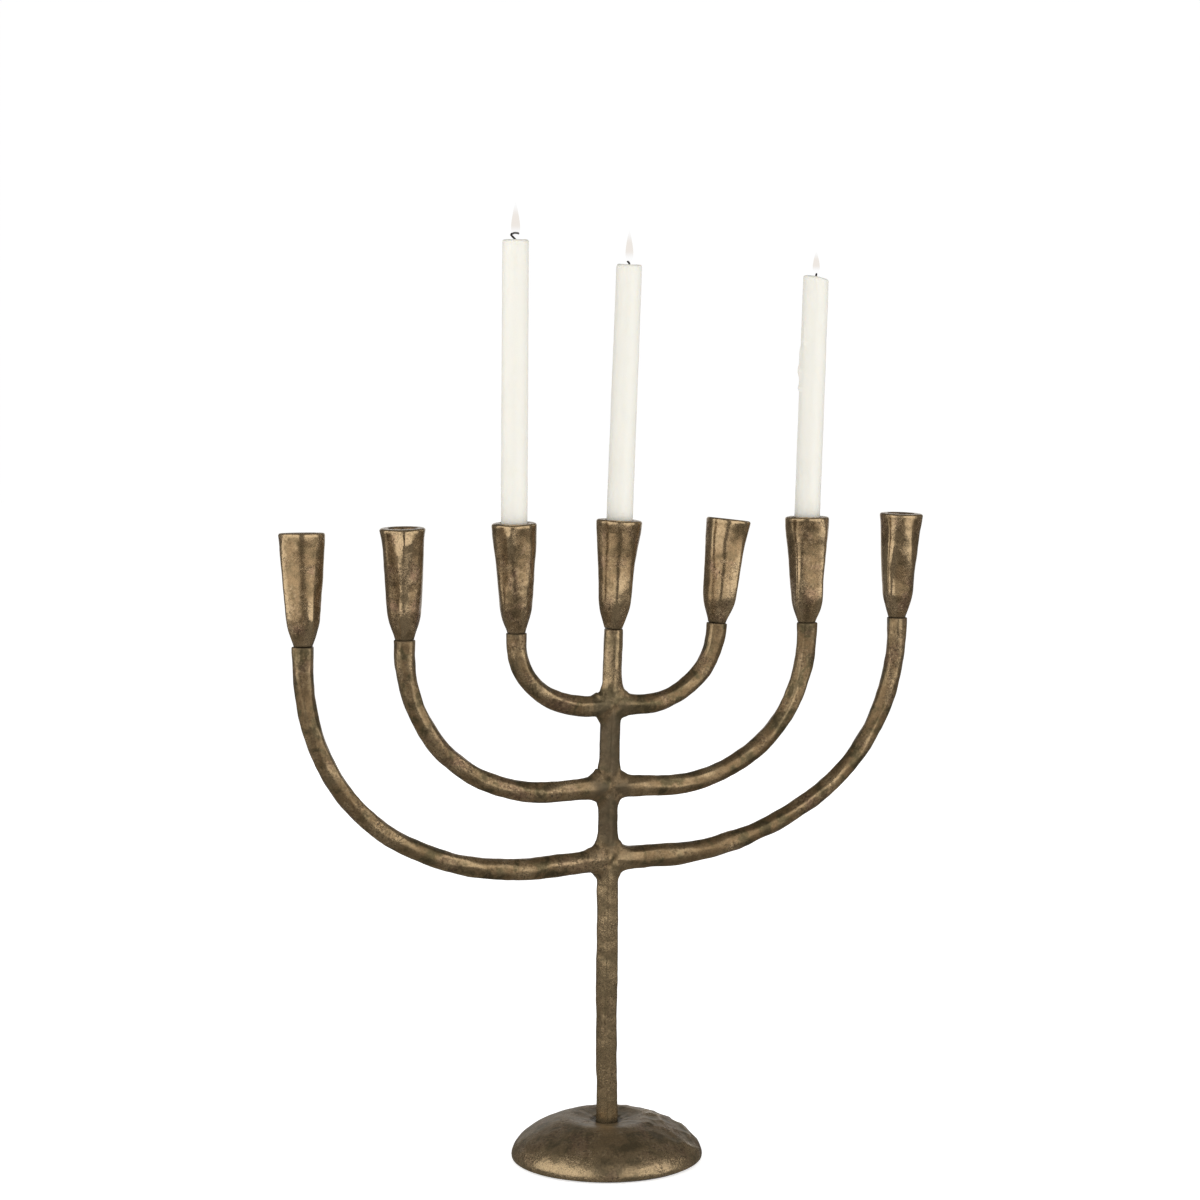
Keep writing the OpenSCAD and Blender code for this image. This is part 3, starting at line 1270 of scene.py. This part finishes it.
@dataclass
class DomedBase:
    """The planished dome that the menorah stands on, with its felt and its fixings."""

    finish: CastBrass
    felt: Felt
    steel: PlatedSteel
    wall: float = 0.005
    rim_z: float = 0.004
    fullness: float = 1.8
    undercut: float = 0.004
    dish_r: float = 0.036
    dish_depth: float = 0.0045
    crest: float = 0.0025
    seat_z: float = 0.020
    boss_z: float = 0.012
    boss_r: float = 0.016
    screw_hole_r: float = 0.0044
    dent: float = 0.0115
    dent_depth: float = 0.00115
    struck: tuple[float, float] = (0.97, 0.24)
    well_r: float = 0.0092
    well_edge: float = 0.0100
    moat: float = 0.0009
    rightward: float = -0.4485
    round_count: int = 224

    def build(self) -> list[bpy.types.Object]:
        """Builds the dome and the felt, and dresses the screw and washer.

        Returns:
            The two new pieces.
        """
        low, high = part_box("base_dome")
        self.radius = (high.x - low.x) / 2
        self.foot_z = low.z
        self.crest_z = high.z
        share = (self.dish_r / self.radius) ** self.fullness
        self.top = self.rim_z + (high.z - self.rim_z) / (1 - share) ** (1 / self.fullness)
        dome = self._dome().piece("base_dome_planished", looped=True)
        dress(dome, self.finish, Slot.BASE, Body.MENORAH, "base_dome")
        felt = self._felt().piece("felt_disc")
        dress(felt, self.felt, Slot.FELT, Body.MENORAH, "base_felt")
        for node in ("base_screw", "base_washer", *(f"cup_stud_{n}" for n in range(1, 8))):
            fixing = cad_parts[node]
            fixing.data.materials.clear()
            fixing.data.materials.append(self.steel.material())
        return [dome, felt]

    def _height(self, radius: np.ndarray) -> np.ndarray:
        """The dome's height at a radius, with the dish round the stem."""
        share = np.clip(radius / self.radius, 0, 1) ** self.fullness
        dome = self.rim_z + (self.top - self.rim_z) * (1 - share) ** (1 / self.fullness)
        dish = self.crest_z - self.dish_depth * (1 - (radius / self.dish_r) ** 1.25)
        blend = np.clip(0.5 + 0.5 * (dome - dish) / self.crest, 0, 1)
        return dome + (dish - dome) * blend - self.crest * blend * (1 - blend)

    def _towards(self, turns: np.ndarray, bearing: float) -> np.ndarray:
        """How far each turn faces a bearing that is measured from the viewer's right."""
        return np.cos(turns - self.rightward - math.radians(bearing))

    def _dents(self, ring: np.ndarray) -> np.ndarray:
        """How far the hammer's dents push each point of a ring out or in."""
        reach = np.hypot(ring[:, 0], ring[:, 1])
        away = np.maximum(reach, 1e-6)
        facing = (ring[:, 0] * self.struck[0] + ring[:, 1] * self.struck[1]) / away
        strength = 0.16 + 0.84 * soft_step(facing, 0.0, 0.80)
        strength = strength * soft_step(reach, 0.024, 0.040)
        strength = strength * (1 - soft_step(reach, self.radius - 0.004, self.radius + 0.001))
        cells = []
        for point in ring / self.dent + 13.7:
            gaps = noise.voronoi(Vector(point))[0]
            cells.append(gaps[0] ** 2 - 0.25)
        swirl = np.arctan2(ring[:, 1], ring[:, 0])
        rays = np.sin(swirl * 9 + clumps(ring, 0.02, 51) * 6) * soft_step(reach, 0.010, 0.018)
        rays = rays * (1 - soft_step(reach, 0.022, 0.040)) * 0.00012
        broad = clumps(ring, 0.030, 53) * 0.00038 + clumps(ring, 0.009, 57) * 0.00018
        return np.array(cells) * strength * self.dent_depth * 2 + rays + broad

    def _dome(self) -> Skin:
        """The dome's rings, over the outside, down the stem's well and back inside."""
        turns = turns_of(self.round_count)
        ground = Stand(np.zeros(3), UP)
        skin = Skin()
        undercut = self.undercut * (0.15 + 0.85 * soft_step(self._towards(turns, 0), -0.6, 0.5))
        foot = self.radius - undercut
        rise = self.rim_z - self.foot_z
        # Painted shade along the bottom edge, where the dome meets the floor.
        for lean in np.linspace(0, math.pi / 2, 6)[:-1]:
            radius = foot + undercut * math.sin(lean)
            ring = ground.ring(self.foot_z + rise * (1 - math.cos(lean)), radius, turns)
            skin.add(ring, 0.55, 0.35 * (1 - math.sin(lean)))
        # Worn patches that are also painted highlights: bright spots at the front-left and front-right
        # bearings from the viewer, where the softboxes glint on the low dome.
        rubbed_and_glint = soft_step(self._towards(turns, -123), 0.86, 0.985)
        rubbed_and_glint = rubbed_and_glint + 0.7 * soft_step(self._towards(turns, -46), 0.88, 0.985)
        lean = np.linspace(0.0, 1.0, 74)
        radii = self.radius - (self.radius - self.well_edge) * lean**1.35
        for radius in radii:
            height = float(self._height(np.array(radius)))
            ring = ground.ring(height, radius, turns)
            dents = self._dents(ring)
            slope = (self._height(np.array(radius - 1e-4)) - self._height(np.array(radius + 1e-4))) / 2e-4
            slope = float(np.clip(slope, -2, 8))
            size = math.hypot(1, slope)
            out = radius + dents * slope / size
            ring = ground.ring(height, out, turns)
            ring[:, 2] += dents / size
            # Lighter low down and darker on top: real wear and patina, plus a painted highlight low down
            # and painted shade on top. The dents' crests are also lightened as painted glints.
            low = 1 - float(soft_step(height, 0.010, 0.028))
            worn_and_glint = rubbed_and_glint * (0.7 + clumps(ring, 0.007, 63) * 0.6)
            wear_and_glint = np.clip(0.16 + 0.24 * low + 0.6 * worn_and_glint * low + dents * 420, 0, 1)
            stain = 0.45 * soft_step(clumps(ring, 0.011, 65), 0.0, 0.45) * (1 - np.clip(rubbed_and_glint, 0, 1))
            # Painted shade: a dark ring round the stem's well, with a shallow moat cut into the dome.
            well = 1 - soft_step(radius + clumps(ring, 0.004, 59) * 0.0022, 0.0118, 0.0148)
            ring[:, 2] -= self.moat * well
            skin.add(ring, wear_and_glint, np.clip(0.30 * (1 - low) + stain * low + well, 0, 1))
        # Painted shade: the well, the boss and the inside of the dome are painted dark.
        mouth = float(self._height(np.array(self.well_edge))) - 0.0015
        skin.add(ground.ring(mouth, self.well_r, turns), 0.0, 1.0)
        inside = [
            (self.well_r, self.seat_z),
            (self.screw_hole_r, self.seat_z),
            (self.screw_hole_r, self.boss_z),
            (self.boss_r, self.boss_z),
            (self.boss_r, self.crest_z - self.dish_depth - self.wall),
        ]
        for radius, height in inside:
            skin.add(ground.ring(height, radius, turns), 0.0, 0.9)
        for radius in np.linspace(0.024, self.radius - self.wall - 0.001, 14):
            height = float(self._height(np.array(radius + self.wall * 0.8))) - self.wall * 0.75
            skin.add(ground.ring(max(height, self.foot_z + 0.001), radius, turns), 0.0, 0.7)
        skin.add(ground.ring(self.foot_z, self.radius - self.undercut - self.wall, turns), 0.0, 0.7)
        return skin

    def _felt(self) -> Skin:
        """The felt disc's rings, with a soft, slightly uneven edge."""
        low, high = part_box("base_felt")
        turns = turns_of(160)
        ground = Stand(np.zeros(3), UP)
        radius, thick = (high.x - low.x) / 2, high.z - low.z
        skin = Skin()
        for share in (0.02, 0.3, 0.6, 0.85, 0.97):
            skin.add(ground.ring(low.z, radius * share, turns))
        for lean in np.linspace(-math.pi / 2, math.pi / 2, 9):
            ring = ground.ring(0.0, radius, turns)
            bulge = clumps(ring, 0.004, 61) * 0.00025 - 0.0006 + 0.0006 * math.cos(lean)
            height = low.z + thick * (0.5 + 0.5 * math.sin(lean))
            skin.add(ground.ring(height, radius + bulge, turns))
        for share in (0.9, 0.5, 0.02):
            skin.add(ground.ring(high.z, radius * share, turns))
        return skin


# ---- the candles ----


@dataclass(frozen=True)
class Drip:
    """A run of wax that has set on a candle's side."""

    height: float
    turn: float
    length: float
    width: float
    thick: float


@dataclass
class TaperCandle:
    """A burning candle: its wax, its wick and its flame."""

    wax: CandleWax
    char: CharredWick
    glow: Flame
    side: str
    body: Body
    flame_height: float
    flame_width: float
    flame_rise: float = 0.0022
    wick_pitch: float = 0.00025
    top_taper: float = 0.985
    dish: float = 0.0015
    slant: float = 0.0
    shoulder: float = 0.0020
    drips: tuple[Drip, ...] = ()
    seed: int = 71
    round_count: int = 72

    def build(self) -> list[bpy.types.Object]:
        """Builds the candle.

        Returns:
            The wax, the wick and the flame.
        """
        node, wick_node = f"candle_{self.side}", f"wick_{self.side}"
        foot, up, self.length = axis_of(node)
        low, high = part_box(node)
        self.radius = (high.y - low.y) / 2 - abs(up[1]) * self.length / 2
        self.stand = Stand(foot, up)
        self.top = foot + up * self.length
        wax = self._wax().piece(f"{node}_wax")
        dress(wax, self.wax, Slot.WAX, self.body, node)
        wick = self._wick(wick_node)
        dress(wick, self.char, Slot.WICK, self.body, wick_node)
        flame = self._flame().piece(f"{node}_flame")
        dress(flame, self.glow, None, self.body)
        flame.visible_shadow = False
        return [wax, wick, flame]

    def _side_bulge(self, ring: np.ndarray, height: float, turns: np.ndarray) -> np.ndarray:
        """How far the wax stands out from a true cylinder at one ring."""
        bulge = clumps(ring, 0.018, self.seed) * 0.00016 + clumps(ring, 0.006, self.seed + 2) * 0.00006
        for drip in self.drips:
            fall = (drip.height - height) / drip.length
            if not -0.25 < fall < 1.1:
                continue
            body = float(soft_step(fall, -0.2, 0.12)) * float(1 - soft_step(fall, 0.72, 1.05))
            bead = 1 + 0.8 * math.exp(-(((fall - 0.72) / 0.16) ** 2))
            away = (turns - drip.turn + math.pi) % (2 * math.pi) - math.pi
            across = np.exp(-((away * self.radius / (drip.width * 0.5 * bead)) ** 2))
            bulge = bulge + drip.thick * bead * body * across
        return bulge

    def _wax(self) -> Skin:
        """The wax's rings, from its foot up and over into the pool round the wick."""
        turns = turns_of(self.round_count)
        skin = Skin()
        chamfer = 0.001
        skin.add(self.stand.ring(0.0, self.radius * 0.5, turns))
        skin.add(self.stand.ring(0.0, self.radius - chamfer, turns))
        top = self.length
        side_top = top - self.shoulder
        for height in np.linspace(chamfer, side_top, 150):
            share = height / top
            radius = self.radius * (1 + (self.top_taper - 1) * max(0.0, share * 1.2 - 0.2))
            ring = self.stand.ring(float(height), radius, turns)
            bulge = self._side_bulge(ring, float(height), turns)
            high = float(soft_step(height, top - 0.045, top))
            lift = -self.slant * high**6 * 0.5 * (1 + np.cos(turns))
            ring = self.stand.ring(float(height), radius + bulge, turns)
            skin.add(ring + lift[:, None] * self.stand.up, 0.0, 0.0)
        radius = self.radius * self.top_taper
        lift = -self.slant * 0.5 * (1 + np.cos(turns))
        for lean in (22, 45, 67, 90):
            rise = self.shoulder * math.sin(math.radians(lean))
            draw = self.shoulder * (1 - math.cos(math.radians(lean)))
            ring = self.stand.ring(side_top + rise, radius - draw, turns)
            wobble = clumps(ring, 0.006, self.seed + 5) * 0.00035
            skin.add(ring + (lift + wobble)[:, None] * self.stand.up)
        inner = radius - self.shoulder
        for share in (0.86, 0.70, 0.52, 0.34, 0.18, 0.10):
            sink = -self.dish * float(soft_step(1 - share, 0.0, 0.75))
            ring = self.stand.ring(top + sink, inner * share, turns)
            skin.add(ring + (lift * share)[:, None] * self.stand.up, 0.0, 0.5 * (1 - share))
        return skin

    def _wick(self, node: str) -> bpy.types.Object:
        """The braided wick along its CAD node."""
        foot, _, _ = axis_of(f"candle_{self.side}")
        line = follow(node, foot + self.stand.up * 0.0002, self.stand.up, self.wick_pitch, 0.0012)
        _, radius = section(node_triangles(node), line[3], self.stand.up, 0.0024)
        turns = turns_of(18)
        skin = Skin()
        behind = AWAY
        for i in range(1, len(line)):
            along = unit(line[min(i + 2, len(line) - 1)] - line[max(i - 2, 0)])
            across = unit(np.cross(behind, along))
            left = (len(line) - 1 - i) * self.wick_pitch
            end = math.sqrt(max(0.05, 1 - max(0.0, 1 - left / 0.0012) ** 2))
            plait = 1 + 0.16 * np.cos(3 * turns + i * self.wick_pitch * 920)
            out = np.cos(turns)[:, None] * across + np.sin(turns)[:, None] * np.cross(along, across)
            skin.add(line[i] + out * (radius * end * plait)[:, None])
        return skin.piece(f"{node}_braid")

    def _flame(self) -> Skin:
        """The flame's rings, a slim column that starts just over the wax."""
        stand = Stand(self.top + UP * self.flame_rise, UP)
        skin = Skin()
        for share in np.linspace(0.01, 0.99, 26):
            girth = math.sin(math.pi * share**0.62) ** 0.65 * (1 - 0.45 * share)
            ring = stand.ring(self.flame_height * share, self.flame_width * 0.62 * girth, turns_of(32))
            heat = float(soft_step(share, 0.05, 0.35) * (1 - soft_step(share, 0.55, 1.0)))
            skin.add(ring, heat)
        return skin


# ---- the studio ----


@dataclass(frozen=True)
class Softbox:
    """A lit panel that points at the menorah."""

    name: str
    bearing: float
    distance: float
    height: float
    width: float
    tall: float
    power: float
    tint: RGB = (1.0, 1.0, 1.0)

    def build(self, target: Vector, forward: float) -> bpy.types.Object:
        """Makes the light.

        Args:
            target: the point that it faces.
            forward: the bearing that it is turned from, in degrees.

        Returns:
            The light's object.
        """
        lamp = bpy.data.lights.new(self.name, "AREA")
        lamp.shape = "RECTANGLE"
        lamp.size, lamp.size_y = self.width, self.tall
        lamp.energy = self.power
        lamp.color = self.tint
        turned = math.radians(forward + self.bearing)
        place = Vector((math.sin(turned), -math.cos(turned), 0.0)) * self.distance
        place.z = self.height
        light = new_object(self.name, lamp)
        light.location = place
        aim = Vector((target.x, target.y, self.height)) - place
        light.rotation_euler = aim.to_track_quat("-Z", "Y").to_euler()
        light.visible_camera = False
        return light


@dataclass
class Studio:
    """A pale floor, a white surround, softboxes and the camera."""

    eye: Place = (-1.1602, -2.3957, 0.7713)
    heading: float = 25.70
    pitch: float = 6.31
    roll: float = 0.10
    lens: float = 96.25
    sensor: float = 36.0
    floor_size: float = 14.0
    floor_glow: float = 0.60
    surround_r: float = 9.0
    room: RGB = (0.120, 0.115, 0.106)
    fill: float = 0.50
    boxes: tuple[Softbox, ...] = ()

    def build(self) -> None:
        """Sets up the floor, the surround, the lights and the camera."""
        scene = bpy.context.scene
        scene.view_settings.view_transform = "Standard"
        scene.view_settings.look = "None"
        world = bpy.data.worlds.new("room")
        world.use_nodes = True
        book = NodeBook(world.node_tree)
        light = book.add("ShaderNodeBackground", None, {"Color": self.room, "Strength": 1.0})
        book.add("ShaderNodeOutputWorld", None, {"Surface": light})
        scene.world = world
        self._floor()
        self._shell("backdrop", self.surround_r, 1.0, seen=True)
        self._shell("fill", self.surround_r + 0.5, self.fill, seen=False)
        target = Vector((0.0, 0.0, 0.4))
        for box in self.boxes:
            box.build(target, -self.heading)
        lens = bpy.data.cameras.new("camera")
        lens.lens = self.lens
        lens.sensor_width = self.sensor
        camera = new_object("camera", lens)
        camera.location = self.eye
        turned = Euler((math.radians(90 - self.pitch), 0.0, math.radians(-self.heading)))
        rolled = Quaternion((0.0, 0.0, 1.0), math.radians(self.roll))
        camera.rotation_euler = (turned.to_quaternion() @ rolled).to_euler()
        scene.camera = camera

    def _stage(self, name: str, faces: bmesh.types.BMesh, paint: StudioPaint) -> bpy.types.Object:
        """Turns a mesh into a painted piece of the stage, which metal doesn't mirror."""
        mesh = bpy.data.meshes.new(name)
        faces.to_mesh(mesh)
        faces.free()
        mesh.materials.append(paint.material())
        made = new_object(name, mesh)
        made.visible_glossy = False
        return made

    def _floor(self) -> None:
        """A plain pale floor."""
        work = bmesh.new()
        bmesh.ops.create_grid(work, x_segments=8, y_segments=8, size=self.floor_size / 2)
        self._stage("floor", work, StudioPaint("pale_floor", self.floor_glow, (0.90, 0.90, 0.895), 0.9))

    def _shell(self, name: str, radius: float, strength: float, seen: bool) -> None:
        """A white shell round everything.

        Args:
            name: its name.
            radius: its radius.
            strength: how bright it is.
            seen: whether it is the backdrop that shows, or the light that fills.
        """
        work = bmesh.new()
        bmesh.ops.create_icosphere(work, subdivisions=5, radius=radius)
        bmesh.ops.reverse_faces(work, faces=work.faces)
        shell = self._stage(name, work, StudioPaint(name, strength))
        shell.visible_camera = seen
        shell.visible_diffuse = not seen
        shell.visible_transmission = False
        shell.visible_shadow = False


# ---- the whole ----


def main() -> None:
    """Builds the menorah and its studio."""
    logging.basicConfig(level=logging.INFO, format="%(name)s: %(message)s")
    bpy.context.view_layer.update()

    brass = CastBrass("antique_brass")
    base_brass = CastBrass(
        "base_brass", body=(0.270, 0.195, 0.110), bright=(0.47, 0.35, 0.205), olive=(0.150, 0.125, 0.070),
        patch=0.011, pock=0.0058, pock_depth=0.00048, smooth=0.20, rough=0.40, metal=0.85, mottle=0.65,
    )
    cup_brass = CastBrass(
        "cup_brass", body=(0.33, 0.222, 0.118), blush=(0.40, 0.245, 0.165), bright=(0.55, 0.41, 0.245),
        patch=0.009, pock_depth=0.00017, smooth=0.14, rough=0.25, mottle=0.35,
    )
    wax = CandleWax("ivory_wax")
    char = CharredWick("charred_wick")
    glow = Flame("flame")

    outer = ((0.0, 1.17), (0.16, 1.12), (0.38, 0.97), (0.8, 0.96), (1.0, 1.05))
    middle = ((0.0, 1.12), (0.18, 1.08), (0.4, 0.96), (0.8, 0.96), (1.0, 1.05))
    inner = ((0.0, 1.06), (0.25, 1.04), (0.5, 0.96), (0.85, 0.98), (1.0, 1.05))
    tree = CastTree(
        brass,
        arms=(
            ArmPlan("arm_left_outer", 1, Side.LEFT, outer),
            ArmPlan("arm_left_middle", 2, Side.LEFT, middle),
            ArmPlan("arm_left_inner", 3, Side.LEFT, inner),
            ArmPlan("arm_right_inner", 5, Side.RIGHT, inner, wear_and_glint=0.12),
            ArmPlan("arm_right_middle", 6, Side.RIGHT, middle, wear_and_glint=0.25),
            ArmPlan("arm_right_outer", 7, Side.RIGHT, outer, wear_and_glint=0.22),
        ),
        stem_girth=((0.0, 1.0), (0.52, 0.99), (0.64, 0.95), (0.84, 0.93), (1.0, 0.90)),
    )
    for piece in tree.build():
        log.info("%s: %d faces", piece.name, len(piece.data.polygons))

    cups = (
        CupPlan(1),
        CupPlan(2, turn=0.3),
        CupPlan(3, "candle_left", 0.1),
        CupPlan(4, "candle_centre", 0.5),
        CupPlan(5, turn=0.2),
        CupPlan(6, "candle_right", 0.4),
        CupPlan(7, turn=0.6),
    )
    for plan in cups:
        piece = CandleCup(cup_brass, plan).build()
        log.info("%s: %d faces", piece.name, len(piece.data.polygons))

    for piece in DomedBase(base_brass, Felt("brown_felt"), PlatedSteel("zinc_plate")).build():
        log.info("%s: %d faces", piece.name, len(piece.data.polygons))

    candles = (
        TaperCandle(wax, char, glow, "left", Body.CANDLE_LEFT, 0.0285, 0.0068),
        TaperCandle(
            wax, char, glow, "centre", Body.CANDLE_CENTRE, 0.0265, 0.0060,
            top_taper=0.97, dish=0.0024, seed=81,
        ),
        TaperCandle(
            wax, char, glow, "right", Body.CANDLE_RIGHT, 0.0190, 0.0056,
            top_taper=1.0, dish=0.0008, slant=0.0033, seed=91,
            drips=(
                Drip(0.188, 3.40, 0.018, 0.0030, 0.0008),
                Drip(0.168, 2.80, 0.026, 0.0030, 0.0012),
                Drip(0.146, 2.95, 0.016, 0.0036, 0.0010),
            ),
        ),
    )
    for candle in candles:
        for piece in candle.build():
            log.info("%s: %d faces", piece.name, len(piece.data.polygons))

    studio = Studio(
        boxes=(
            Softbox("softbox_left", -56.0, 1.9, 1.10, 3.4, 2.10, 29.0, (1.0, 0.985, 0.96)),
            Softbox("softbox_right", 51.0, 1.9, 1.10, 3.0, 2.10, 25.5, (1.0, 0.985, 0.96)),
            Softbox("softbox_back", 180.0, 2.2, 0.60, 2.2, 1.1, 5.0),
        )
    )
    studio.build()


if __name__ == "__main__":
    main()
